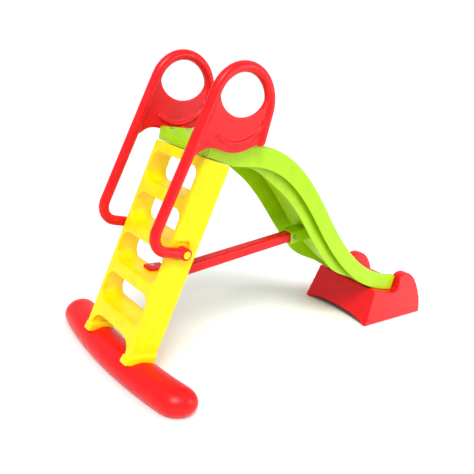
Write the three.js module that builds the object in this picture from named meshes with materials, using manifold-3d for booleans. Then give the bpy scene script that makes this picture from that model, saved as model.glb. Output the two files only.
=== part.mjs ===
// Toddler slide: a blow-moulded garden slide for small children.
// Millimetres, +Z up. +X runs down the slide, from the ladder to the landing foot.
// The parts are drawn with the ladder's foot near x = 0 and the slide's middle plane at y = 0.
import * as THREE from 'three';
import { mergeVertices } from 'three/addons/utils/BufferGeometryUtils.js';
import Module from 'manifold-3d';

const wasm = await Module();
wasm.setup();

// ---- driving dimensions -------------------------------------------------------------------
const GAP = 0.3; // clearance between two fitted parts
const TOTAL_HEIGHT = 1100;

// ladder
const LADDER_HALF_WIDTH = 142;
const LADDER_DEPTH = 100;
const LADDER_FLARE = 22; // how much wider each side is at the back than at the front
const LADDER_SLOPE = 0.279; // run per unit of rise
const LADDER_FRONT_X = -110; // front face, carried down to the floor
const RAIL_WIDTH = 15; // side rail beside each step opening
const STEP_PITCH = 146;
const FIRST_TREAD_Z = 208;
const OPENING_HEIGHT = 104;
const OPENINGS = 4;
const LADDER_FOOT_Z = 84; // bottom of the legs at the front
const LADDER_FOOT_DROP = 24; // the legs are cut square to the ladder's slope
const ARCH_TOP_Z = 157; // top of the arch between the two legs
const ARCH_INSET = 6; // the arch is this much narrower, each side, than the step openings
const ARCH_RADIUS = 52;
const OPENING_RADIUS = 34;
const LADDER_TOP_Z = { front: 784, back: 766 }; // where its two faces meet the chute
const PLINTH = { inset: 32, spread: 5, height: 26 }; // thickened end of each leg

// base beam under the ladder
const BASE_HALF_LENGTH = 396;
const BASE_HALF_WIDTH = 67;
const BASE_HEIGHT = 93;
const BASE_CENTRE_X = -38;
const BASE_AXIS_Z = 41; // widest level of the beam
const BASE_BOW = 48; // how far the two ends curve towards the landing foot

// chute
const RIM_Z = 836; // rim of the level platform
const CHUTE_START_X = 118;
const PLATFORM_END_X = 330;
const STEEP = { x: 827, z: 556, lean: THREE.MathUtils.degToRad(44.5) };
const RUNOUT_LEAN = THREE.MathUtils.degToRad(5);
const CHUTE_END_X = 1454;
const CHUTE_END_Z = 222;
const CHUTE_HALF_WIDTH = 141;
const CHUTE_WALL = 6;
const CHUTE_STEPS = 40;
const LOW_WALL = 0.62; // wall height where the platform starts, as a share of the full height
const WALL_RISE = 120; // length of platform over which the walls reach full height
const RIM_WIDTH = 28;
const RIM_THICKNESS = 16; // solid top of the rolled rim
const TROUGH_DEPTH = 58;
const BAND_HEIGHT = 78; // outer face of the rolled rim
const SKIRT_HEIGHT = 120; // lowest edge of the side wall behind the rim

// handrails
const RAIL_Y = 163; // middle plane of a handrail
const TUBE_RADIUS = 18;
const TUBE_STEPS = 44;
const WEB_THICKNESS = 16;
const LOOP = { x: 207, z: TOTAL_HEIGHT - 120 - TUBE_RADIUS, radius: 120 };
const LEG_LEAN = THREE.MathUtils.degToRad(18);
const RUN_LEAN = THREE.MathUtils.degToRad(8); // fall of the lower run towards the peg
const END_LEAN = THREE.MathUtils.degToRad(6);
const BEND_RADIUS = 57;
const RAIL_END_Z = 852;
const EYE_RADIUS = 21;
const EYE_HALF_WIDTH = 19;
const PEG = { x: 68, z: 473, radius: 13 };
const PEG_SEAT = 127; // depth of the peg's blind hole, from the middle plane
const RECESS = { length: 90, margin: 3, headroom: 11 }; // in the ladder, for the handrail's end
const HAND_HOLE = { x: LOOP.x - 1, z: LOOP.z + 33, halfWidth: 98, halfHeight: 71 };
const WEB_START_Z = 775; // where the web leaves the grab leg
const WEB_EDGE = [ // x and z along its wavy lower edge
  [51, 799], [78, 817], [107, 822], [142, 818], [179, 810],
  [215, 811], [250, 820], [284, 835], [319, 848],
];

// strut between the ladder and the underside of the chute
const STRUT_WIDTH = 44;
const STRUT_HEIGHT = 42;
const STRUT_SLOPE = 0.171;
const STRUT_END_X = 772;
const SOCKET_WALL = 7; // wall of the chute's socket around the strut's end
const STRUT_AXIS = { x: 460, z: 381 };
const TONGUE_TOP_Z = 366;
const strutZ = (x) => STRUT_AXIS.z + STRUT_SLOPE * (x - STRUT_AXIS.x);
const STRUT_PIN = { x: STRUT_END_X - 17, z: strutZ(STRUT_END_X - 17), radius: 6 };
const STRUT_BOLT = { x: 66, tip: 326 };

// landing foot
const FOOT_START_X = 1213;
const FOOT_END_X = 1701;
const REAR_LEAN = 38; // how far the rear face leans in at its top
const FOOT_HALF_WIDTH = 195;
const FOOT_TOP_HALF_WIDTH = 165;
const CHEEK_Z = 240;
const FOOT_WALL = 8;
const LANDING_Z = 154;
const LANDING_HALF_WIDTH = 126;

// fasteners
const SCREW = { radius: 4, head: 9, headHeight: 4 };
const RAIL_SCREWS = [{ name: 'front', x: 150, z: 826 }, { name: 'rear', x: 222, z: 826 }];
const RAIL_SCREW_SEAT = 116;
const LADDER_SCREW = { x: 158, y: 70, tipZ: 789 };
const LADDER_BOSS = { radius: 12, low: 778.6, high: 790 }; // stands on the ladder, under the platform
const BASE_SCREW = { x: BASE_CENTRE_X + 5, y: 128, seatZ: 12, tipZ: 100 };
const FOOT_SCREW = { x: 1390, y: 60, seatZ: 146, tipZ: 168 };
const SIDES = [{ name: 'left', sign: 1 }, { name: 'right', sign: -1 }];

// ---- materials ----------------------------------------------------------------------------
const plastic = (color) => new THREE.MeshStandardMaterial({ color, roughness: 0.4, metalness: 0 });
const RED = plastic(0xf01c24);
const YELLOW = plastic(0xffe600);
const GREEN = plastic(0xa8f000);
const STEEL = new THREE.MeshStandardMaterial({ color: 0xb9bcc0, roughness: 0.35, metalness: 1 });

// ---- geometry helpers ---------------------------------------------------------------------
const BEYOND = 600; // how far a cutting block reaches past the part it cuts
// lays an outline drawn in x and y into the y-z plane, with its thickness along x
const FACING_X = new THREE.Matrix4().makeBasis(
  new THREE.Vector3(0, 1, 0), new THREE.Vector3(0, 0, 1), new THREE.Vector3(1, 0, 0));

// A closed three.js geometry as a manifold solid, ready to be joined or cut.
function solid(geometry) {
  const bare = geometry.index ? geometry.toNonIndexed() : geometry.clone();
  bare.deleteAttribute('normal');
  bare.deleteAttribute('uv');
  const welded = mergeVertices(bare, 1e-3);
  const mesh = new wasm.Mesh({
    numProp: 3,
    vertProperties: new Float32Array(welded.attributes.position.array),
    triVerts: new Uint32Array(welded.index.array),
  });
  return new wasm.Manifold(mesh);
}

function geometryOf(body) {
  const mesh = body.getMesh();
  const geometry = new THREE.BufferGeometry();
  geometry.setAttribute('position', new THREE.BufferAttribute(new Float32Array(mesh.vertProperties), 3));
  geometry.setIndex(new THREE.BufferAttribute(new Uint32Array(mesh.triVerts), 1));
  geometry.computeVertexNormals();
  return geometry;
}

const join = (...bodies) => bodies.reduce((all, body) => all.add(body));
const cut = (body, ...tools) => tools.reduce((rest, tool) => rest.subtract(tool), body);

function box(x0, x1, y0, y1, z0, z1) {
  const block = new THREE.BoxGeometry(x1 - x0, y1 - y0, z1 - z0);
  return solid(block.translate((x0 + x1) / 2, (y0 + y1) / 2, (z0 + z1) / 2));
}

// An outline in the x-z plane, given thickness from y0 to y1.
function slabXZ(shape, y0, y1, curveSegments = 8) {
  const slab = new THREE.ExtrudeGeometry(shape, { depth: y1 - y0, bevelEnabled: false, curveSegments });
  return solid(slab.rotateX(Math.PI / 2).translate(0, y1, 0));
}

// An outline in the y-z plane, given length from x0 to x1.
function slabYZ(shape, x0, x1, curveSegments = 8) {
  const slab = new THREE.ExtrudeGeometry(shape, { depth: x1 - x0, bevelEnabled: false, curveSegments });
  return solid(slab.applyMatrix4(FACING_X).translate(x0, 0, 0));
}

function polygon(points) {
  return new THREE.Shape(points.map(([x, y]) => new THREE.Vector2(x, y)));
}

function roundedRectangle(x0, x1, y0, y1, radius) {
  const shape = new THREE.Shape();
  shape.moveTo(x0 + radius, y0);
  shape.lineTo(x1 - radius, y0);
  shape.absarc(x1 - radius, y0 + radius, radius, -Math.PI / 2, 0);
  shape.absarc(x1 - radius, y1 - radius, radius, 0, Math.PI / 2);
  shape.absarc(x0 + radius, y1 - radius, radius, Math.PI / 2, Math.PI);
  shape.absarc(x0 + radius, y0 + radius, radius, Math.PI, 1.5 * Math.PI);
  return shape;
}

// A round bar from one point to another.
function rod(from, to, radius, sides = 20) {
  const start = new THREE.Vector3(...from);
  const along = new THREE.Vector3(...to).sub(start);
  const bar = new THREE.CylinderGeometry(radius, radius, along.length(), sides);
  const turn = new THREE.Quaternion().setFromUnitVectors(
    new THREE.Vector3(0, 1, 0), along.clone().normalize());
  return solid(bar.applyQuaternion(turn).translate(...start.add(along.multiplyScalar(0.5)).toArray()));
}

// ---- chute --------------------------------------------------------------------------------
// The rim line: a level platform, a crest that rolls over into the steep part, and a run-out.
function leaningCurve(from, fromLean, fromReach, to, toLean, toReach) {
  return new THREE.CubicBezierCurve3(
    new THREE.Vector3(from[0], 0, from[1]),
    new THREE.Vector3(
      from[0] + fromReach * Math.cos(fromLean), 0, from[1] - fromReach * Math.sin(fromLean)),
    new THREE.Vector3(to[0] - toReach * Math.cos(toLean), 0, to[1] + toReach * Math.sin(toLean)),
    new THREE.Vector3(to[0], 0, to[1]));
}

const rimLine = new THREE.CurvePath();
rimLine.add(new THREE.LineCurve3(
  new THREE.Vector3(CHUTE_START_X, 0, RIM_Z), new THREE.Vector3(PLATFORM_END_X, 0, RIM_Z)));
rimLine.add(leaningCurve([PLATFORM_END_X, RIM_Z], 0, 212, [STEEP.x, STEEP.z], STEEP.lean, 190));
rimLine.add(leaningCurve(
  [STEEP.x, STEEP.z], STEEP.lean, 260, [CHUTE_END_X, CHUTE_END_Z], RUNOUT_LEAN, 260));

// The walls are low where a child sits down and reach full height past the platform.
function wallScale(x) {
  return THREE.MathUtils.lerp(LOW_WALL, 1, THREE.MathUtils.clamp((x - CHUTE_START_X) / WALL_RISE, 0, 1));
}

// The skirt below the rim band fades out over the ladder and over the landing foot.
function skirtScale(x) {
  const leaving = THREE.MathUtils.smoothstep(x, 240, 560);
  const arriving = 1 - THREE.MathUtils.smoothstep(x, 980, 1180);
  return Math.max(0.04, Math.min(leaving, arriving));
}

// A place u along the rim line, and a depth of the section there, as a point of the x-z plane.
function chutePoint(u, depth) {
  const point = rimLine.getPointAt(u);
  const tangent = rimLine.getTangentAt(u);
  const band = Math.min(depth, BAND_HEIGHT) * wallScale(point.x);
  const drop = band + Math.max(0, depth - BAND_HEIGHT) * skirtScale(point.x);
  return new THREE.Vector2(point.x + tangent.z * drop, point.z - tangent.x * drop);
}

// A section (across, depth below the rim) is drawn straight and then bent along the rim line.
function alongChute(section, steps, curveSegments = 4) {
  const straight = new THREE.ExtrudeGeometry(
    section, { depth: 1, steps, bevelEnabled: false, curveSegments });
  const position = straight.attributes.position;
  for (let i = 0; i < position.count; i++) {
    const u = THREE.MathUtils.clamp(position.getZ(i), 0, 1);
    const place = chutePoint(u, position.getY(i));
    position.setXYZ(i, place.x, -position.getX(i), place.y);
  }
  return solid(straight);
}

// A trough with rolled rims: each rim is a hollow band, open below, and the trough's own side
// wall runs on down behind the band as a stiffening skirt.
function chuteSection() {
  const outer = CHUTE_HALF_WIDTH;
  const inner = outer - RIM_WIDTH;
  const floorEdge = 74;
  const half = new THREE.Path();
  half.moveTo(floorEdge, TROUGH_DEPTH);
  half.bezierCurveTo(floorEdge + 22, TROUGH_DEPTH, inner - 6, TROUGH_DEPTH - 12, inner - 2, 12);
  half.bezierCurveTo(inner, 0, outer, -2, outer, 14);
  half.lineTo(outer, BAND_HEIGHT);
  half.lineTo(outer - CHUTE_WALL, BAND_HEIGHT);
  half.lineTo(outer - CHUTE_WALL, RIM_THICKNESS);
  half.lineTo(inner + CHUTE_WALL, RIM_THICKNESS);
  half.lineTo(inner + CHUTE_WALL, SKIRT_HEIGHT);
  half.lineTo(inner, SKIRT_HEIGHT);
  half.lineTo(inner, TROUGH_DEPTH + CHUTE_WALL);
  const right = half.getPoints(5);
  const left = right.map((point) => new THREE.Vector2(-point.x, point.y)).reverse();
  return new THREE.Shape([...right, ...left]);
}

function chute() {
  const channel = alongChute(chuteSection(), CHUTE_STEPS);
  const overFloor = alongChute(roundedRectangle(-70, 70, -60, TROUGH_DEPTH + 3, 2), 30, 1);
  const socket = cut(
    strutBar(
      STRUT_END_X - 36, STRUT_END_X + 110, STRUT_WIDTH + 2 * SOCKET_WALL, STRUT_HEIGHT + 2 * SOCKET_WALL),
    overFloor);
  const socketHole = strutBar(
    STRUT_END_X - 200, STRUT_END_X + GAP, STRUT_WIDTH + 2 * GAP, STRUT_HEIGHT + 2 * GAP);
  const bosses = SIDES.map(({ sign }) => rod(
    [LADDER_SCREW.x, sign * LADDER_SCREW.y, LADDER_BOSS.low],
    [LADDER_SCREW.x, sign * LADDER_SCREW.y, LADDER_BOSS.high], LADDER_BOSS.radius));
  return cut(
    join(channel, socket, ...bosses),
    socketHole,
    rod([STRUT_PIN.x, -60, STRUT_PIN.z], [STRUT_PIN.x, 60, STRUT_PIN.z], STRUT_PIN.radius + GAP),
    ...SIDES.flatMap(({ sign }) => [
      ...RAIL_SCREWS.flatMap((screw) => [
        screwHole(railScrew(screw, sign)),
        rod([screw.x, sign * 96, screw.z], [screw.x, sign * RAIL_SCREW_SEAT, screw.z], SCREW.head + GAP),
      ]),
      screwHole(ladderScrew(sign)),
      screwHole(footScrew(sign)),
    ]));
}

// ---- ladder -------------------------------------------------------------------------------
const ladderFront = (z) => LADDER_FRONT_X + LADDER_SLOPE * z;
const ladderBack = (z) => ladderFront(z) + LADDER_DEPTH;

// Height of the band's lower edge over the platform, where the ladder's top meets it.
function bandEdgeZ(x) {
  return RIM_Z - BAND_HEIGHT * wallScale(x) - (SKIRT_HEIGHT - BAND_HEIGHT) * 0.04;
}

// Half width of the ladder at a place behind its front face.
function flaredWidth(halfWidth, x, z) {
  return halfWidth + LADDER_FLARE * (x - ladderFront(z)) / LADDER_DEPTH;
}

// An outline in the x-z plane, given the ladder's flared width.
function flaredSlab(shape, halfWidth) {
  const slab = new THREE.ExtrudeGeometry(shape, { depth: 2, bevelEnabled: false });
  slab.rotateX(Math.PI / 2).translate(0, 1, 0);
  const position = slab.attributes.position;
  for (let i = 0; i < position.count; i++) {
    const width = flaredWidth(halfWidth, position.getX(i), position.getZ(i));
    position.setY(i, Math.sign(position.getY(i)) * width);
  }
  return solid(slab);
}

// A step opening or the arch: drawn in the y-z plane, and as flared as the ladder itself.
function flaredOpening(halfWidth, z0, z1, radius) {
  const shape = roundedRectangle(-halfWidth, halfWidth, z0, z1, radius);
  const slab = new THREE.ExtrudeGeometry(shape, { depth: 400, bevelEnabled: false, curveSegments: 6 });
  slab.applyMatrix4(FACING_X).translate(-150, 0, 0);
  const position = slab.attributes.position;
  for (let i = 0; i < position.count; i++) {
    const width = flaredWidth(halfWidth, position.getX(i), position.getZ(i));
    position.setY(i, position.getY(i) * width / halfWidth);
  }
  return solid(slab);
}

// The thickened ends of both legs, or with a clearance the pockets that they stand in.
function plinths(clearance) {
  const inner = LADDER_HALF_WIDTH - PLINTH.inset - clearance;
  return cut(
    flaredSlab(plinthProfile(clearance), LADDER_HALF_WIDTH + PLINTH.spread + clearance),
    box(-BEYOND, BEYOND, -inner, inner, -BEYOND, BEYOND));
}

function ladder() {
  const frontTop = bandEdgeZ(ladderFront(LADDER_TOP_Z.front)) - GAP;
  const backTop = bandEdgeZ(ladderBack(LADDER_TOP_Z.back)) - GAP;
  const toeZ = LADDER_FOOT_Z + 2; // the legs end just inside their plinths
  const heelZ = toeZ - LADDER_FOOT_DROP;
  const profile = polygon([
    [ladderFront(toeZ), toeZ], [ladderBack(heelZ), heelZ],
    [ladderBack(backTop), backTop], [ladderFront(frontTop), frontTop]]);
  const body = flaredSlab(profile, LADDER_HALF_WIDTH);
  const opening = LADDER_HALF_WIDTH - RAIL_WIDTH;
  const treads = Array.from({ length: OPENINGS }, (_, step) => {
    const tread = FIRST_TREAD_Z + step * STEP_PITCH;
    return flaredOpening(opening, tread, tread + OPENING_HEIGHT, OPENING_RADIUS);
  });
  const arch = flaredOpening(opening - ARCH_INSET, -ARCH_RADIUS, ARCH_TOP_Z, ARCH_RADIUS);
  return cut(
    join(cut(body, arch), plinths(0)),
    ...treads,
    ...SIDES.map(({ sign }) => handrailRecess(sign)),
    ...SIDES.flatMap(({ sign }) => [
      screwHole(baseScrew(sign)),
      screwHole(ladderScrew(sign)),
      rod([PEG.x, sign * PEG_SEAT, PEG.z], [PEG.x, sign * 160, PEG.z], PEG.radius + GAP),
    ]),
    rod([STRUT_BOLT.x, 0, STRUT_BOLT.tip - GAP], [STRUT_BOLT.x, 0, 380], SCREW.radius + GAP));
}

// A shallow recess in the ladder's side, where the end of the handrail lies against it.
function handrailRecess(sign) {
  const seat = sign * (RAIL_Y - EYE_HALF_WIDTH - GAP);
  const reach = EYE_RADIUS + RECESS.margin;
  return box(
    PEG.x - RECESS.length, PEG.x + reach,
    Math.min(seat, sign * BEYOND), Math.max(seat, sign * BEYOND),
    PEG.z - reach, PEG.z + reach + RECESS.headroom);
}

function plinthProfile(clearance) {
  const spread = PLINTH.spread + clearance;
  const bottom = LADDER_FOOT_Z - clearance;
  const top = LADDER_FOOT_Z + PLINTH.height;
  const heel = bottom - LADDER_FOOT_DROP;
  return polygon([
    [ladderFront(bottom) - spread, bottom], [ladderBack(heel) + spread, heel],
    [ladderBack(top) + clearance, top], [ladderFront(top) - clearance, top]]);
}

// ---- base beam ----------------------------------------------------------------------------
// A capsule, flattened underneath and bowed so that both ends point towards the landing foot.
function baseBeam() {
  const straight = new THREE.CapsuleGeometry(
    BASE_HALF_WIDTH, 2 * (BASE_HALF_LENGTH - BASE_HALF_WIDTH), 7, 24, 10);
  const upright = BASE_HEIGHT - BASE_AXIS_Z;
  const position = straight.attributes.position;
  for (let i = 0; i < position.count; i++) {
    const along = position.getY(i);
    const bow = BASE_BOW * (along / BASE_HALF_LENGTH) ** 2;
    const height = (-position.getX(i) / BASE_HALF_WIDTH) * upright;
    position.setXYZ(i, BASE_CENTRE_X + position.getZ(i) + bow, along, BASE_AXIS_Z + height);
  }
  return cut(
    solid(straight),
    box(-BEYOND, BEYOND, -BEYOND, BEYOND, -BEYOND, 0),
    plinths(GAP),
    ...SIDES.flatMap(({ sign }) => {
      const screw = baseScrew(sign);
      return [
        screwHole(screw),
        rod([screw.tip[0], screw.tip[1], -5], screw.seat, SCREW.head + 1),
      ];
    }));
}

// ---- handrails ----------------------------------------------------------------------------
class FlatCurve extends THREE.Curve {
  constructor(path) {
    super();
    this.path = path;
  }

  getPoint(t, target = new THREE.Vector3()) {
    const point = this.path.getPoint(t);
    return target.set(point.x, 0, point.y);
  }
}

// Centre line of the tube: from the peg back to the grab leg, up, over the loop and down.
function tubeLine() {
  const legRight = new THREE.Vector2(Math.cos(LEG_LEAN), -Math.sin(LEG_LEAN));
  const runUp = new THREE.Vector2(Math.sin(RUN_LEAN), Math.cos(RUN_LEAN));
  const loop = new THREE.Vector2(LOOP.x, LOOP.z);
  const legTop = loop.clone().addScaledVector(legRight, -LOOP.radius);
  const peg = new THREE.Vector2(PEG.x, PEG.z);
  // the bend's centre is one bend radius away from both the leg and the lower run
  const a = legTop.dot(legRight) + BEND_RADIUS;
  const b = peg.dot(runUp) + BEND_RADIUS;
  const det = legRight.x * runUp.y - legRight.y * runUp.x;
  const bend = new THREE.Vector2(
    (a * runUp.y - b * legRight.y) / det, (b * legRight.x - a * runUp.x) / det);
  const line = new THREE.Path();
  line.moveTo(peg.x, peg.y);
  line.lineTo(bend.x - BEND_RADIUS * runUp.x, bend.y - BEND_RADIUS * runUp.y);
  line.absarc(bend.x, bend.y, BEND_RADIUS,
    -Math.PI / 2 - RUN_LEAN, -Math.PI - LEG_LEAN, true);
  line.absarc(loop.x, loop.y, LOOP.radius, Math.PI - LEG_LEAN, -END_LEAN, true);
  const loopEnd = line.currentPoint.clone();
  line.lineTo(loopEnd.x - (loopEnd.y - RAIL_END_Z) * Math.tan(END_LEAN), RAIL_END_Z);
  return line;
}

// The flat web between leg and loop, with the hand hole through it.
function webShape() {
  const legX = (z) => LOOP.x - LOOP.radius * Math.cos(LEG_LEAN)
    - (LOOP.z + LOOP.radius * Math.sin(LEG_LEAN) - z) * Math.tan(LEG_LEAN);
  const web = new THREE.Shape();
  web.moveTo(legX(WEB_START_Z), WEB_START_Z);
  web.splineThru(WEB_EDGE.map(([x, z]) => new THREE.Vector2(x, z)));
  web.absarc(LOOP.x, LOOP.z, LOOP.radius, -END_LEAN, Math.PI - LEG_LEAN, false);
  const hole = new THREE.Path();
  hole.absellipse(
    HAND_HOLE.x, HAND_HOLE.z, HAND_HOLE.halfWidth, HAND_HOLE.halfHeight, 0, 2 * Math.PI, true);
  web.holes.push(hole);
  return web;
}

function handrail(sign) {
  const section = new THREE.Shape();
  section.absarc(0, 0, TUBE_RADIUS, 0, 2 * Math.PI, false);
  const line = tubeLine();
  const extrudePath = new FlatCurve(line);
  const tube = solid(new THREE.ExtrudeGeometry(
    section, { steps: TUBE_STEPS, extrudePath, curveSegments: 7, bevelEnabled: false }));
  const end = line.getPoint(1);
  const tip = solid(new THREE.SphereGeometry(TUBE_RADIUS, 14, 8).translate(end.x, 0, end.y));
  const web = slabXZ(webShape(), -WEB_THICKNESS / 2, WEB_THICKNESS / 2, 7);
  const eye = rod([PEG.x, -EYE_HALF_WIDTH, PEG.z], [PEG.x, EYE_HALF_WIDTH, PEG.z], EYE_RADIUS);
  const bossEnd = sign * (CHUTE_HALF_WIDTH + GAP - RAIL_Y);
  const inward = RAIL_SCREWS.map(({ x, z }) => rod([x, 0, z], [x, bossEnd, z], 10));
  const body = join(tube, tip, web, eye, ...inward).translate([0, sign * RAIL_Y, 0]);
  return cut(
    body,
    rod([PEG.x, sign * 120, PEG.z], [PEG.x, sign * 200, PEG.z], PEG.radius + GAP),
    ...RAIL_SCREWS.map((screw) => screwHole(railScrew(screw, sign))));
}

function peg(sign) {
  const inner = sign * (PEG_SEAT + GAP);
  const outer = sign * (RAIL_Y + EYE_HALF_WIDTH + 1);
  return rod([PEG.x, inner, PEG.z], [PEG.x, outer, PEG.z], PEG.radius);
}

// ---- strut --------------------------------------------------------------------------------
// A straight bar's length between two places along the strut's sloping axis.
function strutBar(x0, x1, width, height, radius = 0.5) {
  const lean = Math.atan(STRUT_SLOPE);
  const half = (x1 - x0) / 2 / Math.cos(lean);
  const section = roundedRectangle(-width / 2, width / 2, -height / 2, height / 2, radius);
  const bar = slabYZ(section, -half, half, radius > 1 ? 4 : 1);
  const middle = (x0 + x1) / 2;
  return bar.rotate([0, -THREE.MathUtils.radToDeg(lean), 0]).translate([middle, 0, strutZ(middle)]);
}

// The bar ends at the ladder in a head that stands against the back of a tread, with a tongue
// that lies on the tread.
function strut() {
  const treadTop = FIRST_TREAD_Z + STEP_PITCH;
  const tongueZ = treadTop + 2 * GAP;
  const head = polygon([
    [ladderBack(298) + 2 * GAP, 298], [126, 306], [138, 344], [112, TONGUE_TOP_Z], [48, TONGUE_TOP_Z],
    [44, TONGUE_TOP_Z - 5], [44, tongueZ], [ladderBack(tongueZ) + 2 * GAP, tongueZ]]);
  return cut(
    join(
      strutBar(104, STRUT_END_X, STRUT_WIDTH, STRUT_HEIGHT, 8),
      slabXZ(head, -STRUT_WIDTH / 2, STRUT_WIDTH / 2)),
    rod([STRUT_PIN.x, -60, STRUT_PIN.z], [STRUT_PIN.x, 60, STRUT_PIN.z], STRUT_PIN.radius + GAP),
    rod([STRUT_BOLT.x, 0, 340], [STRUT_BOLT.x, 0, 380], SCREW.radius + GAP));
}

// ---- landing foot -------------------------------------------------------------------------
// Outline of the hollow foot seen along x; it narrows upwards. The hollow is open to the floor.
function footTaper(wall) {
  const low = FOOT_HALF_WIDTH - wall;
  const high = FOOT_TOP_HALF_WIDTH - wall;
  return slabYZ(polygon([[-low, -wall], [low, -wall], [high, 270], [-high, 270]]), 1000, 1800);
}

// The foot's shoulders follow the line just below the chute's rim bands.
function shoulderProfile(wall) {
  const line = [];
  for (let u = 0.78; u <= 1; u += 0.02) {
    const point = chutePoint(u, SKIRT_HEIGHT);
    if (point.x > FOOT_START_X + REAR_LEAN + wall + 4 && point.x < CHUTE_END_X - 8) {
      line.push([point.x, point.y - wall]);
    }
  }
  const lastZ = line[line.length - 1][1] - 2;
  return polygon([
    [FOOT_START_X + wall, -1], [FOOT_START_X + REAR_LEAN + wall, line[0][1] + 2], ...line,
    [CHUTE_END_X + 30, lastZ], [CHUTE_END_X + 30, -1]]);
}

function landingProfile(wall) {
  const shape = new THREE.Shape();
  shape.moveTo(CHUTE_END_X - 10, -1);
  shape.lineTo(CHUTE_END_X - 10, LANDING_Z - wall);
  shape.lineTo(1600, LANDING_Z - 12 - wall);
  shape.bezierCurveTo(1664 - wall, LANDING_Z - 18 - wall, 1690 - wall, 90, FOOT_END_X - wall, -1);
  return shape;
}

function cheekProfile(wall) {
  const shape = new THREE.Shape();
  shape.moveTo(CHUTE_END_X + 2 + wall, -1);
  shape.lineTo(CHUTE_END_X + 2 + wall, CHEEK_Z - 20 - wall);
  shape.bezierCurveTo(
    1486, CHEEK_Z + 3 - wall, 1545, CHEEK_Z + 3 - wall, 1600 - wall / 2, 194 - wall);
  shape.bezierCurveTo(1648 - wall, 150 - wall, 1686 - wall, 90, FOOT_END_X - wall, -1);
  return shape;
}

function landingFoot() {
  const wide = FOOT_HALF_WIDTH + 10;
  const outside = join(
    slabXZ(shoulderProfile(0), -wide, wide),
    slabXZ(landingProfile(0), -wide, wide),
    ...SIDES.map(({ sign }) => slabXZ(
      cheekProfile(0), sign > 0 ? LANDING_HALF_WIDTH : -wide, sign > 0 ? wide : -LANDING_HALF_WIDTH, 6)),
  ).intersect(footTaper(0));
  const hollow = join(
    slabXZ(shoulderProfile(FOOT_WALL), -wide, wide),
    slabXZ(landingProfile(FOOT_WALL), -wide, wide),
    ...SIDES.map(({ sign }) => {
      const inner = LANDING_HALF_WIDTH + FOOT_WALL;
      return slabXZ(cheekProfile(FOOT_WALL), sign > 0 ? inner : -wide, sign > 0 ? wide : -inner, 6);
    }),
  ).intersect(footTaper(FOOT_WALL));
  // a saddle fills the space under the chute's floor, between the two skirts
  const saddleReach = CHUTE_HALF_WIDTH - RIM_WIDTH - 2;
  const saddle = box(FOOT_START_X + 60, CHUTE_END_X - 12, -saddleReach, saddleReach, 126, 260);
  const underFloor = alongChute(
    roundedRectangle(-200, 200, -90, TROUGH_DEPTH + CHUTE_WALL + 1, 2), CHUTE_STEPS, 1);
  const bandSpace = SIDES.map(({ sign }) => alongChute(roundedRectangle(
    Math.min(sign * saddleReach, sign * (CHUTE_HALF_WIDTH + GAP)),
    Math.max(sign * saddleReach, sign * (CHUTE_HALF_WIDTH + GAP)), -90, SKIRT_HEIGHT + 12, 1),
    CHUTE_STEPS, 1));
  const mouth = slabYZ(ellipse(165, 28), FOOT_START_X - 20, FOOT_START_X + 30, 10);
  return cut(
    join(cut(outside, hollow), cut(saddle, underFloor)),
    ...bandSpace,
    ...bandSpace.map((space) => space.translate([GAP, 0, 0])),
    mouth,
    ...SIDES.flatMap(({ sign }) => {
      const screw = footScrew(sign);
      return [
        screwHole(screw),
        rod([screw.tip[0], screw.tip[1], screw.seat[2] - 50], screw.seat, SCREW.head + 1),
      ];
    }));
}

function ellipse(halfWidth, halfHeight) {
  const shape = new THREE.Shape();
  shape.absellipse(0, 0, halfWidth, halfHeight, 0, 2 * Math.PI, false);
  return shape;
}

// ---- fasteners ----------------------------------------------------------------------------
// Each screw is given by the seat its head stands on and by the tip of its shank.
function railScrew({ x, z }, sign) {
  return { seat: [x, sign * RAIL_SCREW_SEAT, z], tip: [x, sign * (RAIL_Y - 3), z] };
}

function ladderScrew(sign) {
  const { x, y, tipZ } = LADDER_SCREW;
  const ceiling = FIRST_TREAD_Z + (OPENINGS - 1) * STEP_PITCH + OPENING_HEIGHT;
  return { seat: [x, sign * y, ceiling], tip: [x, sign * y, tipZ] };
}

function baseScrew(sign) {
  const { x, y, seatZ, tipZ } = BASE_SCREW;
  return { seat: [x, sign * y, seatZ], tip: [x, sign * y, tipZ] };
}

function footScrew(sign) {
  const { x, y, seatZ, tipZ } = FOOT_SCREW;
  return { seat: [x, sign * y, seatZ], tip: [x, sign * y, tipZ] };
}

function screwAxis({ seat, tip }) {
  return new THREE.Vector3(...tip).sub(new THREE.Vector3(...seat)).normalize();
}

function screwHole({ seat, tip }) {
  const axis = screwAxis({ seat, tip });
  const start = new THREE.Vector3(...seat).addScaledVector(axis, -2);
  const end = new THREE.Vector3(...tip).addScaledVector(axis, GAP);
  return rod(start.toArray(), end.toArray(), SCREW.radius + GAP, 14);
}

function screw({ seat, tip }) {
  const axis = screwAxis({ seat, tip });
  const under = new THREE.Vector3(...seat).addScaledVector(axis, -GAP);
  const top = under.clone().addScaledVector(axis, -SCREW.headHeight);
  return join(
    rod(top.toArray(), under.toArray(), SCREW.head, 18),
    rod(under.toArray(), tip, SCREW.radius, 14));
}

function strutPin() {
  const reach = STRUT_WIDTH / 2 + SOCKET_WALL;
  const { x, z, radius } = STRUT_PIN;
  const heads = SIDES.map(({ sign }) => rod(
    [x, sign * (reach + 2 * GAP), z], [x, sign * (reach + SCREW.headHeight), z], SCREW.head, 18));
  return join(rod([x, -reach - 2, z], [x, reach + 2, z], radius, 16), ...heads);
}

function strutBolt() {
  const seat = [STRUT_BOLT.x, 0, TONGUE_TOP_Z];
  return screw({ seat, tip: [STRUT_BOLT.x, 0, STRUT_BOLT.tip] });
}

// ---- assembly -----------------------------------------------------------------------------
const slide = new THREE.Group();

function place(name, body, material) {
  const mesh = new THREE.Mesh(geometryOf(body), material);
  mesh.name = name;
  slide.add(mesh);
}

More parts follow.
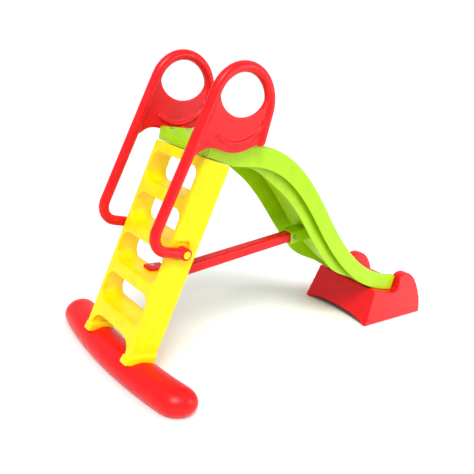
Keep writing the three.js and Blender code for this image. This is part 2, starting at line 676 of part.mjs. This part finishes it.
place('base_beam', baseBeam(), RED);
place('ladder', ladder(), YELLOW);
place('chute', chute(), GREEN);
place('landing_foot', landingFoot(), RED);
place('strut', strut(), RED);
place('strut_pin_chute', strutPin(), STEEL);
place('strut_screw_ladder', strutBolt(), STEEL);
for (const { name, sign } of SIDES) {
  place(`handrail_${name}`, handrail(sign), RED);
  place(`handrail_peg_${name}`, peg(sign), YELLOW);
  for (const spot of RAIL_SCREWS) {
    place(`handrail_screw_${spot.name}_${name}`, screw(railScrew(spot, sign)), STEEL);
  }
  place(`platform_screw_${name}`, screw(ladderScrew(sign)), STEEL);
  place(`base_screw_${name}`, screw(baseScrew(sign)), STEEL);
  place(`foot_screw_${name}`, screw(footScrew(sign)), STEEL);
}

// the origin is the middle of the footprint, on the floor
const bounds = new THREE.Box3().setFromObject(slide);
const middle = bounds.getCenter(new THREE.Vector3());
slide.position.set(-middle.x, -middle.y, -bounds.min.z);

export default slide;
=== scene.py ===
import math

import bpy
from mathutils import Matrix, Vector


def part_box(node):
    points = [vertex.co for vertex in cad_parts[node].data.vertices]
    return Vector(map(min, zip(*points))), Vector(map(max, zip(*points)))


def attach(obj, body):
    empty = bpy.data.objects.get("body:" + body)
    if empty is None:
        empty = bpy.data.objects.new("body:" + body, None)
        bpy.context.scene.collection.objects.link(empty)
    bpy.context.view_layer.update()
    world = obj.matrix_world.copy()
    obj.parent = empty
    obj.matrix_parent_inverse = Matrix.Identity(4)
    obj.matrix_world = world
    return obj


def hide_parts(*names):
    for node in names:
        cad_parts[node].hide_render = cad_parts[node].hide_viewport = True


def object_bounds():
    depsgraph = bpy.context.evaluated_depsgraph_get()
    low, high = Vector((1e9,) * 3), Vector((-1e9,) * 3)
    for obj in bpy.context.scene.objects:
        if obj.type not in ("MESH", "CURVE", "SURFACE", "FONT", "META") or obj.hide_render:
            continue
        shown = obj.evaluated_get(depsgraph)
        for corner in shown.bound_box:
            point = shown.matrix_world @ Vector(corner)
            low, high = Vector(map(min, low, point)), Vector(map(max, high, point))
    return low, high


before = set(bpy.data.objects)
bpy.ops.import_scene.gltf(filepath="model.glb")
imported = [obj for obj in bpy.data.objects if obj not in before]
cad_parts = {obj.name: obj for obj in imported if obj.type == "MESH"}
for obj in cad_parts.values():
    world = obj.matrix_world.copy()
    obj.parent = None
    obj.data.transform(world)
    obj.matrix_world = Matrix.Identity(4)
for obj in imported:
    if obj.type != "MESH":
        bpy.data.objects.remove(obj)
cad_low, cad_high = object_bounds()

# ---- places --------------------------------------------------------------------------------
# The slide is laid out in millimetres from the ladder's foot; the pegs of the handrails tie that
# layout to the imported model.
PEG_X, PEG_Z = 68.0, 473.0
peg_low, peg_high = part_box("handrail_peg_left")
LADDER_FOOT_X = (peg_low.x + peg_high.x) / 2 - PEG_X / 1000


def at(x, y, z):
    return Vector((LADDER_FOOT_X + x / 1000, y / 1000, z / 1000))


def mm(length):
    return length / 1000


# ---- camera --------------------------------------------------------------------------------
CAMERA_AT = (-1010.4, -1507.4, 1082.3)
CAMERA_YAW = 0.80178  # from +X towards +Y
CAMERA_PITCH = 0.29483  # downwards
CAMERA_ROLL = -0.18509
CAMERA_LENS = 42.53  # mm, on a 36 mm sensor

forward = Vector((
    math.cos(CAMERA_YAW) * math.cos(CAMERA_PITCH),
    math.sin(CAMERA_YAW) * math.cos(CAMERA_PITCH),
    -math.sin(CAMERA_PITCH)))
level_right = Vector((math.sin(CAMERA_YAW), -math.cos(CAMERA_YAW), 0))
level_down = forward.cross(level_right)
right = math.cos(CAMERA_ROLL) * level_right + math.sin(CAMERA_ROLL) * level_down
down = -math.sin(CAMERA_ROLL) * level_right + math.cos(CAMERA_ROLL) * level_down

bpy.ops.object.camera_add()
camera = bpy.context.object
camera.name = "camera"
camera.data.sensor_width = 36
camera.data.lens = CAMERA_LENS
camera.data.clip_start = 0.05
camera.data.clip_end = 100
camera.matrix_world = Matrix.Translation(at(*CAMERA_AT)) @ Matrix(
    (right, -down, -forward)).transposed().to_4x4()
bpy.context.scene.camera = camera

# ---- materials -----------------------------------------------------------------------------


def linear(hex_colour):
    channels = [int(hex_colour[i:i + 2], 16) / 255 for i in (1, 3, 5)]
    return [c / 12.92 if c <= 0.04045 else ((c + 0.055) / 1.055) ** 2.4 for c in channels] + [1.0]


def node(material, kind, settings=None, links=None):
    """Adds a shader node, sets its properties and inputs, and links its inputs from other nodes."""
    tree = material.node_tree
    made = tree.nodes.new(kind)
    for name, value in (settings or {}).items():
        if hasattr(made, name):
            setattr(made, name, value)
        else:
            made.inputs[name].default_value = value
    for name, (source, output) in (links or {}).items():
        tree.links.new(source.outputs[output], made.inputs[name])
    return made


def new_material(name):
    material = bpy.data.materials.new(name)
    material.use_nodes = True
    material.node_tree.nodes.clear()
    return material


def polyethylene(name, colour, deep, pale):
    """Blow-moulded high-density polyethylene: a waxy satin skin, faintly mottled where the pigment
    is thin, with the fine orange peel of the sand-blasted mould."""
    material = new_material(name)
    place = node(material, "ShaderNodeTexCoord")
    # pigment drifts over about 60 mm
    drift = node(material, "ShaderNodeTexNoise", {"Scale": 16, "Detail": 3, "Roughness": 0.55},
                 {"Vector": (place, "Object")})
    tone = node(material, "ShaderNodeValToRGB", links={"Fac": (drift, "Fac")})
    ramp = tone.color_ramp
    ramp.elements[0].position = 0.30
    ramp.elements[0].color = linear(deep)
    ramp.elements[1].position = 0.72
    ramp.elements[1].color = linear(pale)
    middle = ramp.elements.new(0.5)
    middle.color = linear(colour)
    # scuffs and handling marks, 15 to 40 mm across, dull the skin
    scuff = node(material, "ShaderNodeTexNoise", {"Scale": 40, "Detail": 5, "Roughness": 0.6},
                 {"Vector": (place, "Object")})
    sheen = node(material, "ShaderNodeMapRange",
                 {"From Min": 0.35, "From Max": 0.7, "To Min": 0.28, "To Max": 0.42},
                 {"Value": (scuff, "Fac")})
    # orange peel, 2.5 mm from bump to bump
    peel = node(material, "ShaderNodeTexNoise", {"Scale": 400, "Detail": 2, "Roughness": 0.5},
                {"Vector": (place, "Object")})
    # slow waves of the cooling wall, 30 mm from crest to crest
    sink = node(material, "ShaderNodeTexNoise", {"Scale": 33, "Detail": 1, "Roughness": 0.4},
                {"Vector": (place, "Object")})
    waves = node(material, "ShaderNodeBump", {"Strength": 0.10, "Distance": 0.0025},
                 {"Height": (sink, "Fac")})
    bump = node(material, "ShaderNodeBump", {"Strength": 0.25, "Distance": 0.0002},
                {"Height": (peel, "Fac"), "Normal": (waves, "Normal")})
    # a little light passes through the skin, about 8 mm deep
    skin = node(material, "ShaderNodeBsdfPrincipled",
                {"IOR": 1.54, "Specular IOR Level": 0.24, "Subsurface Weight": 0.06,
                 "Subsurface Scale": 0.008, "Subsurface Radius": (1.0, 1.0, 1.0)},
                {"Base Color": (tone, "Color"), "Roughness": (sheen, "Result"),
                 "Normal": (bump, "Normal")})
    node(material, "ShaderNodeOutputMaterial", links={"Surface": (skin, "BSDF")})
    return material


def zinc_plated_steel():
    """Zinc-plated steel: grey, slightly blue, cloudy where the passivation is uneven."""
    material = new_material("zinc_plated_steel")
    place = node(material, "ShaderNodeTexCoord")
    cloud = node(material, "ShaderNodeTexNoise", {"Scale": 500, "Detail": 3},
                 {"Vector": (place, "Object")})
    tone = node(material, "ShaderNodeValToRGB", links={"Fac": (cloud, "Fac")})
    tone.color_ramp.elements[0].color = linear("#A9ADB2")
    tone.color_ramp.elements[1].color = linear("#CDD0D2")
    rough = node(material, "ShaderNodeMapRange", {"To Min": 0.25, "To Max": 0.42},
                 {"Value": (cloud, "Fac")})
    metal = node(material, "ShaderNodeBsdfPrincipled", {"Metallic": 1.0},
                 {"Base Color": (tone, "Color"), "Roughness": (rough, "Result")})
    node(material, "ShaderNodeOutputMaterial", links={"Surface": (metal, "BSDF")})
    return material


RED = polyethylene("blow_moulded_polyethylene_red", "#D80A12", "#CE0810", "#E01018")
YELLOW = polyethylene("blow_moulded_polyethylene_yellow", "#F4D200", "#F0CA00", "#F8DA00")
GREEN = polyethylene("blow_moulded_polyethylene_green", "#9ECC00", "#98C500", "#A4D300")
STEEL = zinc_plated_steel()

for name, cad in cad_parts.items():
    if "screw" in name or "pin" in name:
        finish = STEEL
    elif name.startswith(("ladder", "handrail_peg")):
        finish = YELLOW
    elif name == "chute":
        finish = GREEN
    else:
        finish = RED
    cad.data.materials.clear()
    cad.data.materials.append(finish)

# ---- modelling helpers ---------------------------------------------------------------------


def only(piece):
    """Selects one object and nothing else."""
    bpy.ops.object.select_all(action="DESELECT")
    piece.select_set(True)
    bpy.context.view_layer.objects.active = piece


def apply_modifier(piece, kind, **settings):
    only(piece)
    modifier = piece.modifiers.new(kind.lower(), kind)
    for name, value in settings.items():
        setattr(modifier, name, value)
    bpy.ops.object.modifier_apply(modifier=modifier.name)


def settle(piece):
    """Leaves the object at the origin, unturned and unscaled, with its place in its mesh."""
    only(piece)
    bpy.ops.object.transform_apply(location=True, rotation=True, scale=True)


def outward(piece):
    only(piece)
    bpy.ops.object.mode_set(mode="EDIT")
    bpy.ops.mesh.select_all(action="SELECT")
    bpy.ops.mesh.remove_doubles(threshold=0.00001)
    bpy.ops.mesh.normals_make_consistent(inside=False)
    bpy.ops.object.mode_set(mode="OBJECT")


def cut_away(piece, cutter):
    """Cuts one piece out of another, and removes the cutter."""
    only(piece)
    modifier = piece.modifiers.new("cut", "BOOLEAN")
    modifier.operation = "DIFFERENCE"
    modifier.solver = "EXACT"
    modifier.object = cutter
    bpy.ops.object.modifier_apply(modifier=modifier.name)
    bpy.data.objects.remove(cutter)


def joined(*pieces):
    bpy.ops.object.select_all(action="DESELECT")
    for piece in pieces:
        piece.select_set(True)
    bpy.context.view_layer.objects.active = pieces[0]
    bpy.ops.object.join()
    return pieces[0]


def rod(start, end, radius, sides=32):
    """A round bar between two points."""
    along = end - start
    bpy.ops.mesh.primitive_cylinder_add(
        vertices=sides, radius=radius, depth=along.length, location=(start + end) / 2,
        rotation=along.to_track_quat("Z", "Y").to_euler())
    bar = bpy.context.object
    settle(bar)
    return bar


def softened(name, voxel, passes):
    """A moulded part has no sharp edge: its solid is skinned again and its edges are relaxed."""
    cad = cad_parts[name]
    piece = bpy.data.objects.new(name + "_moulded", cad.data.copy())
    bpy.context.scene.collection.objects.link(piece)
    outward(piece)
    apply_modifier(piece, "REMESH", mode="VOXEL", voxel_size=voxel)
    apply_modifier(piece, "SMOOTH", factor=0.5, iterations=passes)
    return piece


def finished(piece, name, material, *replaced):
    piece.name = name
    piece.data.name = name
    piece.data.materials.clear()
    piece.data.materials.append(material)
    only(piece)
    bpy.ops.object.shade_smooth_by_angle(angle=math.radians(35))
    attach(piece, "root")
    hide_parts(*replaced)


# ---- handrails -----------------------------------------------------------------------------
RAIL_Y = 163
TUBE_RADIUS = 18
LOOP_X, LOOP_Z, LOOP_RADIUS = 207, 962, 120
LEG_LEAN = math.radians(18)
RUN_LEAN = math.radians(8)
END_LEAN = math.radians(6)
BEND_RADIUS = 57
RAIL_END_Z = 852
WEB_THICKNESS = 16
WEB_START_Z = 775  # where the web leaves the grab leg
WEB_EDGE = [  # x and z along its wavy lower edge
    (51, 799), (78, 817), (107, 822), (142, 818), (179, 810), (215, 811), (250, 820),
    (284, 835), (319, 848)]
CREASE_LINE = [  # x and z along the raised crease, which crosses the web like a smile
    (116, 866), (140, 852), (167, 843), (194, 841), (222, 846), (251, 857), (281, 877),
    (301, 900), (308, 925)]
CREASE_RADIUS = 7
HAND_HOLE_X, HAND_HOLE_Z = LOOP_X - 1, LOOP_Z + 33
HAND_HOLE_HALF_WIDTH, HAND_HOLE_HALF_HEIGHT = 98, 71
EYE_RADIUS, EYE_HALF_WIDTH = 21, 19
BOSS_X, BOSS_Z, BOSS_RADIUS, BOSS_END_Y = (150, 222), 826, 10, -141.4


def arc(centre_x, centre_z, radius, start, end, steps):
    angles = [start + (end - start) * i / steps for i in range(steps + 1)]
    return [(centre_x + radius * math.cos(a), centre_z + radius * math.sin(a)) for a in angles]


def tube_line():
    """Centre line of the handrail tube: peg, bend, grab leg, loop and front end."""
    leg = (math.cos(LEG_LEAN), -math.sin(LEG_LEAN))
    run = (math.sin(RUN_LEAN), math.cos(RUN_LEAN))
    leg_side = LOOP_X * leg[0] + LOOP_Z * leg[1] - LOOP_RADIUS + BEND_RADIUS
    run_side = PEG_X * run[0] + PEG_Z * run[1] + BEND_RADIUS
    scale = leg[0] * run[1] - leg[1] * run[0]
    bend_x = (leg_side * run[1] - run_side * leg[1]) / scale
    bend_z = (run_side * leg[0] - leg_side * run[0]) / scale
    bend = arc(bend_x, bend_z, BEND_RADIUS, -math.pi / 2 - RUN_LEAN, -math.pi - LEG_LEAN, 14)
    loop = arc(LOOP_X, LOOP_Z, LOOP_RADIUS, math.pi - LEG_LEAN, -END_LEAN, 40)
    end_x = loop[-1][0] - (loop[-1][1] - RAIL_END_Z) * math.tan(END_LEAN)
    return [(PEG_X, PEG_Z)] + bend + loop + [(end_x, RAIL_END_Z)]


def curve_object(name, outline, y, **settings):
    """A curve in the plane of a handrail, made a mesh."""
    curve = bpy.data.curves.new(name, "CURVE")
    curve.dimensions = "3D"
    spline = curve.splines.new("POLY")
    spline.points.add(len(outline) - 1)
    for point, (x, z) in zip(spline.points, outline):
        place = at(x, y, z)
        point.co = (place.x, place.z, 0, 1)
    spline.use_cyclic_u = name == "web"
    for key, value in settings.items():
        setattr(curve, key, value)
    piece = bpy.data.objects.new(name, curve)
    bpy.context.scene.collection.objects.link(piece)
    only(piece)
    bpy.ops.object.convert(target="MESH")
    piece = bpy.context.object
    piece.rotation_euler = (math.pi / 2, 0, 0)
    piece.location.y = mm(y)
    settle(piece)
    return piece


def smooth_line(knots, steps=6):
    """A Catmull-Rom line through the knots."""
    ends = [knots[0]] + list(knots) + [knots[-1]]
    line = []
    for a, b, c, d in zip(ends, ends[1:], ends[2:], ends[3:]):
        for i in range(steps):
            t = i / steps
            line.append(tuple(
                0.5 * (2 * b[k] + (c[k] - a[k]) * t
                       + (2 * a[k] - 5 * b[k] + 4 * c[k] - d[k]) * t * t
                       + (3 * b[k] - a[k] - 3 * c[k] + d[k]) * t ** 3) for k in (0, 1)))
    return line + [knots[-1]]


def handrail():
    """The right handrail: tube, web with the hand hole, and the eye that the peg goes through."""
    y = -RAIL_Y
    tube = curve_object("tube", tube_line(), y, bevel_depth=mm(TUBE_RADIUS),
                        bevel_resolution=10, use_fill_caps=True)
    leg_top = LOOP_X - LOOP_RADIUS * math.cos(LEG_LEAN)
    leg_drop = LOOP_Z + LOOP_RADIUS * math.sin(LEG_LEAN) - WEB_START_Z
    leg_x = leg_top - leg_drop * math.tan(LEG_LEAN)
    lower_edge = smooth_line([(leg_x, WEB_START_Z)] + WEB_EDGE)
    rim = arc(LOOP_X, LOOP_Z, LOOP_RADIUS, -END_LEAN, math.pi - LEG_LEAN, 40)
    web = curve_object("web", lower_edge + rim, y, dimensions="2D", fill_mode="BOTH",
                       extrude=mm(WEB_THICKNESS / 2))
    creases = [
        curve_object("crease", smooth_line(CREASE_LINE), y + side * WEB_THICKNESS / 2,
                     bevel_depth=mm(CREASE_RADIUS), bevel_resolution=4, use_fill_caps=True)
        for side in (-1, 1)]
    eye = rod(at(PEG_X, y - EYE_HALF_WIDTH, PEG_Z), at(PEG_X, y + EYE_HALF_WIDTH, PEG_Z),
              mm(EYE_RADIUS))
    bosses = [rod(at(x, y, BOSS_Z), at(x, BOSS_END_Y, BOSS_Z), mm(BOSS_RADIUS)) for x in BOSS_X]
    tip_x, tip_z = tube_line()[-1]
    bpy.ops.mesh.primitive_uv_sphere_add(
        segments=32, ring_count=16, radius=mm(TUBE_RADIUS), location=at(tip_x, y, tip_z))
    tip = bpy.context.object
    settle(tip)
    piece = joined(tube, web, *creases, eye, *bosses, tip)
    bpy.ops.mesh.primitive_cylinder_add(
        vertices=96, radius=1, depth=mm(5 * WEB_THICKNESS),
        location=at(HAND_HOLE_X, y, HAND_HOLE_Z), rotation=(math.pi / 2, 0, 0))
    hand_hole = bpy.context.object
    hand_hole.scale = (mm(HAND_HOLE_HALF_WIDTH), mm(HAND_HOLE_HALF_HEIGHT), 1)
    settle(hand_hole)
    apply_modifier(piece, "REMESH", mode="VOXEL", voxel_size=mm(2.2))
    cut_away_web(piece, hand_hole)
    apply_modifier(piece, "SMOOTH", factor=0.5, iterations=8)
    return piece


def cut_away_web(piece, hand_hole):
    """The hand hole goes through the web only, and leaves the loop's tube whole."""
    ring = curve_object("ring", arc(LOOP_X, LOOP_Z, LOOP_RADIUS, -math.pi, math.pi, 64),
                        -RAIL_Y, bevel_depth=mm(TUBE_RADIUS) * 0.995, bevel_resolution=10)
    outward(ring)
    cut_away(hand_hole, ring)
    cut_away(piece, hand_hole)


right_rail = handrail()
left_rail = bpy.data.objects.new("left", right_rail.data.copy())
bpy.context.scene.collection.objects.link(left_rail)
left_rail.scale.y = -1
settle(left_rail)
outward(left_rail)
for side, rail in (("right", right_rail), ("left", left_rail)):
    finished(rail, f"handrail_{side}_moulded", RED, f"handrail_{side}")

# ---- ladder, base beam, strut and landing foot ---------------------------------------------
for name, finish, skin_size, passes in (
        ("ladder", YELLOW, 3.2, 5), ("base_beam", RED, 4, 8), ("strut", RED, 2, 5),
        ("landing_foot", RED, 4, 4)):
    finished(softened(name, mm(skin_size), passes), name + "_moulded", finish, name)

# ---- chute ---------------------------------------------------------------------------------
RIM_Z = 836
CHUTE_START_X, PLATFORM_END_X, CHUTE_END_X, CHUTE_END_Z = 118, 330, 1454, 222
STEEP_X, STEEP_Z, STEEP_LEAN = 827, 556, math.radians(44.5)
RUNOUT_LEAN = math.radians(5)
CHUTE_HALF_WIDTH, RIM_WIDTH, CHUTE_WALL = 141, 28, 6
TROUGH_DEPTH, BAND_HEIGHT, SKIRT_HEIGHT = 58, 78, 120
LOW_WALL, WALL_RISE = 0.62, 120
CREST_REACH, STEEP_IN_REACH, RUNOUT_REACH = 212, 190, 260  # how far each bend is felt
SKIRT_LEAVES, SKIRT_RETURNS = (240, 560), (980, 1180)  # the skirt grows, then fades again
SHORTEST_SKIRT = 0.04
FLOOR_EDGE = 74  # half width of the trough's flat floor
RIM_DROP = 12  # where the wall turns into the rolled rim
SHEET_STEPS, TROUGH_ROWS, SKIRT_ROWS = 160, 104, 20


def smoothstep(value, low, high):
    t = min(max((value - low) / (high - low), 0), 1)
    return t * t * (3 - 2 * t)


def bezier(a, b, c, d, t):
    s = 1 - t
    return tuple(s ** 3 * a[k] + 3 * s * s * t * b[k] + 3 * s * t * t * c[k] + t ** 3 * d[k]
                 for k in (0, 1))


def leaning(start, start_lean, start_reach, end, end_lean, end_reach, steps=80):
    """A smooth bend between two places, leaving and arriving at given leans."""
    b = (start[0] + start_reach * math.cos(start_lean),
         start[1] - start_reach * math.sin(start_lean))
    c = (end[0] - end_reach * math.cos(end_lean), end[1] + end_reach * math.sin(end_lean))
    return [bezier(start, b, c, end, i / steps) for i in range(steps + 1)]


steep = (STEEP_X, STEEP_Z)
rim_points = ([(CHUTE_START_X, RIM_Z)]
              + leaning((PLATFORM_END_X, RIM_Z), 0, CREST_REACH, steep, STEEP_LEAN, STEEP_IN_REACH)
              + leaning(steep, STEEP_LEAN, RUNOUT_REACH,
                        (CHUTE_END_X, CHUTE_END_Z), RUNOUT_LEAN, RUNOUT_REACH)[1:])
rim_travel = [0.0]
for (x0, z0), (x1, z1) in zip(rim_points, rim_points[1:]):
    rim_travel.append(rim_travel[-1] + math.hypot(x1 - x0, z1 - z0))


def along(points, travel, share):
    """The place a share of the way along a line, and the line's direction there."""
    wanted = min(max(share, 0), 1) * travel[-1]
    i = max(k for k in range(len(travel) - 1) if travel[k] <= wanted)
    (x0, z0), (x1, z1) = points[i], points[i + 1]
    length = travel[i + 1] - travel[i]
    t = (wanted - travel[i]) / length
    return (x0 + (x1 - x0) * t, z0 + (z1 - z0) * t), ((x1 - x0) / length, (z1 - z0) / length)


def chute_place(share, across, depth):
    """A place along the chute, across it, and below its rim."""
    (x, z), (run, rise) = along(rim_points, rim_travel, share)
    wall = LOW_WALL + (1 - LOW_WALL) * min(max((x - CHUTE_START_X) / WALL_RISE, 0), 1)
    skirt = max(SHORTEST_SKIRT,
                min(smoothstep(x, *SKIRT_LEAVES), 1 - smoothstep(x, *SKIRT_RETURNS)))
    drop = min(depth, BAND_HEIGHT) * wall + max(0, depth - BAND_HEIGHT) * skirt
    return at(x + rise * drop, across, z - run * drop)


def swept_sheet(name, section, rows):
    """A grid is bent into a section (across, depth) that follows the chute, then given its wall."""
    travel = [0.0]
    for (y0, d0), (y1, d1) in zip(section, section[1:]):
        travel.append(travel[-1] + math.hypot(y1 - y0, d1 - d0))
    bpy.ops.mesh.primitive_grid_add(x_subdivisions=SHEET_STEPS, y_subdivisions=rows, size=1)
    sheet = bpy.context.object
    sheet.name = name
    for vertex in sheet.data.vertices:
        (across, depth), _ = along(section, travel, 0.5 - vertex.co.y)
        vertex.co = chute_place(vertex.co.x + 0.5, across, depth)
    apply_modifier(sheet, "SOLIDIFY", thickness=mm(CHUTE_WALL), offset=1,
                   use_even_offset=True, use_rim=True)
    apply_modifier(sheet, "BEVEL", width=mm(1.6), segments=2, limit_method="ANGLE",
                   angle_limit=math.radians(50))
    return sheet


def chute():
    """The trough with its rolled rims, the skirts behind them, the front lip and the socket."""
    inner = CHUTE_HALF_WIDTH - RIM_WIDTH
    wall_top = (inner - 2, RIM_DROP)
    wall_line = [bezier((FLOOR_EDGE, TROUGH_DEPTH), (FLOOR_EDGE + 22, TROUGH_DEPTH),
                        (inner - 6, TROUGH_DEPTH - 12), wall_top, i / 12) for i in range(13)]
    rim_line = [bezier(wall_top, (inner, 0), (CHUTE_HALF_WIDTH, -2),
                       (CHUTE_HALF_WIDTH, RIM_DROP + 2), i / 12) for i in range(1, 13)]
    half = wall_line + rim_line + [(CHUTE_HALF_WIDTH, BAND_HEIGHT)]
    section = [(-y, depth) for y, depth in reversed(half)] + half
    trough = swept_sheet("trough", section, TROUGH_ROWS)
    skirts = []
    for sign in (-1, 1):
        line = [(sign * (inner + CHUTE_WALL), depth) for depth in (RIM_DROP + 2, SKIRT_HEIGHT)]
        if sign < 0:
            line.reverse()
        skirts.append(swept_sheet("skirt", line, SKIRT_ROWS))
    return joined(trough, *skirts, front_lip(half[:-1]), strut_socket())


def front_lip(half):
    """Closes the platform's front from its rolled rims and floor down to the ladder's top."""
    section = [(-y, depth) for y, depth in reversed(half)] + half
    bpy.ops.mesh.primitive_grid_add(x_subdivisions=len(section) - 1, y_subdivisions=1, size=1)
    lip = bpy.context.object
    lip.name = "front_lip"
    for vertex in lip.data.vertices:
        across, depth = section[round((vertex.co.x + 0.5) * (len(section) - 1))]
        vertex.co = chute_place(0, across, depth if vertex.co.y > 0 else SKIRT_HEIGHT)
        vertex.co.x += mm(3)
    apply_modifier(lip, "SOLIDIFY", thickness=mm(4), offset=0, use_rim=True)
    outward(lip)
    return lip


STRUT_SLOPE, STRUT_AXIS_X, STRUT_AXIS_Z, STRUT_END_X = 0.171, 460, 381, 772
STRUT_LEAN = math.atan(STRUT_SLOPE)
SOCKET_WIDTH, SOCKET_HEIGHT, SOCKET_WALL, SOCKET_DEPTH = 58, 56, 6.7, 37


def strut_z(x):
    return STRUT_AXIS_Z + STRUT_SLOPE * (x - STRUT_AXIS_X)


def strut_socket():
    """A square socket moulded under the chute, open towards the ladder, takes the strut's end."""
    start, end = STRUT_END_X - 36, STRUT_END_X + 110
    middle_x = (start + end) / 2
    bpy.ops.mesh.primitive_cube_add(size=1, location=at(middle_x, 0, strut_z(middle_x)),
                                    rotation=(0, -STRUT_LEAN, 0))
    socket = bpy.context.object
    socket.scale = (mm((end - start) / math.cos(STRUT_LEAN)), mm(SOCKET_WIDTH),
                    mm(SOCKET_HEIGHT))
    settle(socket)
    bpy.ops.object.mode_set(mode="EDIT")
    bpy.ops.mesh.select_all(action="SELECT")
    slope = Vector((math.sin(STEEP_LEAN), 0, math.cos(STEEP_LEAN)))
    under_floor = at(STEEP_X, 0, STEEP_Z) - slope * mm(TROUGH_DEPTH + 3)
    bpy.ops.mesh.bisect(plane_co=under_floor, plane_no=slope, use_fill=True, clear_outer=True)
    bpy.ops.mesh.select_all(action="DESELECT")
    bpy.ops.object.mode_set(mode="OBJECT")
    front = min(socket.data.polygons, key=lambda face: face.center.x)
    front.select = True
    bpy.ops.object.mode_set(mode="EDIT")
    bpy.ops.mesh.select_mode(type="FACE")
    bpy.ops.mesh.inset(thickness=mm(SOCKET_WALL), depth=0)
    inward = Vector((math.cos(STRUT_LEAN), 0, math.sin(STRUT_LEAN))) * mm(SOCKET_DEPTH)
    bpy.ops.mesh.extrude_region_move(TRANSFORM_OT_translate={"value": inward})
    bpy.ops.object.mode_set(mode="OBJECT")
    outward(socket)
    apply_modifier(socket, "BEVEL", width=mm(2.5), segments=3, limit_method="ANGLE",
                   angle_limit=math.radians(40))
    return socket


finished(chute(), "chute_moulded", GREEN, "chute")

# ---- floor and light -----------------------------------------------------------------------
bpy.ops.mesh.primitive_plane_add(size=60)
floor = bpy.context.object
floor.name = "floor"
chalk = new_material("matt_white_floor_paint")
chalk_skin = node(chalk, "ShaderNodeBsdfPrincipled",
                  {"Base Color": linear("#F4F4F2"), "Roughness": 0.9})
node(chalk, "ShaderNodeOutputMaterial", links={"Surface": (chalk_skin, "BSDF")})
floor.data.materials.append(chalk)

world = bpy.data.worlds.new("studio")
bpy.context.scene.world = world
world.use_nodes = True
backdrop = world.node_tree.nodes["Background"]
backdrop.inputs["Color"].default_value = (1, 1, 1, 1)
# the white backdrop is brighter to look at than the light that it gives
seen = node(world, "ShaderNodeLightPath")
brightness = node(world, "ShaderNodeMapRange", {"To Min": 0.76, "To Max": 1.05},
                  {"Value": (seen, "Is Camera Ray")})
world.node_tree.links.new(brightness.outputs["Result"], backdrop.inputs["Strength"])


def softbox(name, place, target, size, power):
    bpy.ops.object.light_add(type="AREA", location=place)
    light = bpy.context.object
    light.name = name
    light.data.shape = "DISK"
    light.data.size = size
    light.data.energy = power
    light.rotation_euler = (target - place).to_track_quat("-Z", "Y").to_euler()


middle = (cad_low + cad_high) / 2
softbox("sheen", Vector((1.6, -3.0, 1.6)), middle, 2.0, 40)

bpy.ops.object.light_add(type="SUN", location=(-2, -3, 4))
sun = bpy.context.object
sun.name = "studio_key"
sun.data.energy = 2.5
sun.data.angle = math.radians(25)
sun.rotation_euler = Vector((0.55, 0.55, -0.95)).to_track_quat("-Z", "Y").to_euler()

bpy.context.scene.view_settings.view_transform = "Standard"

bpy.context.view_layer.update()
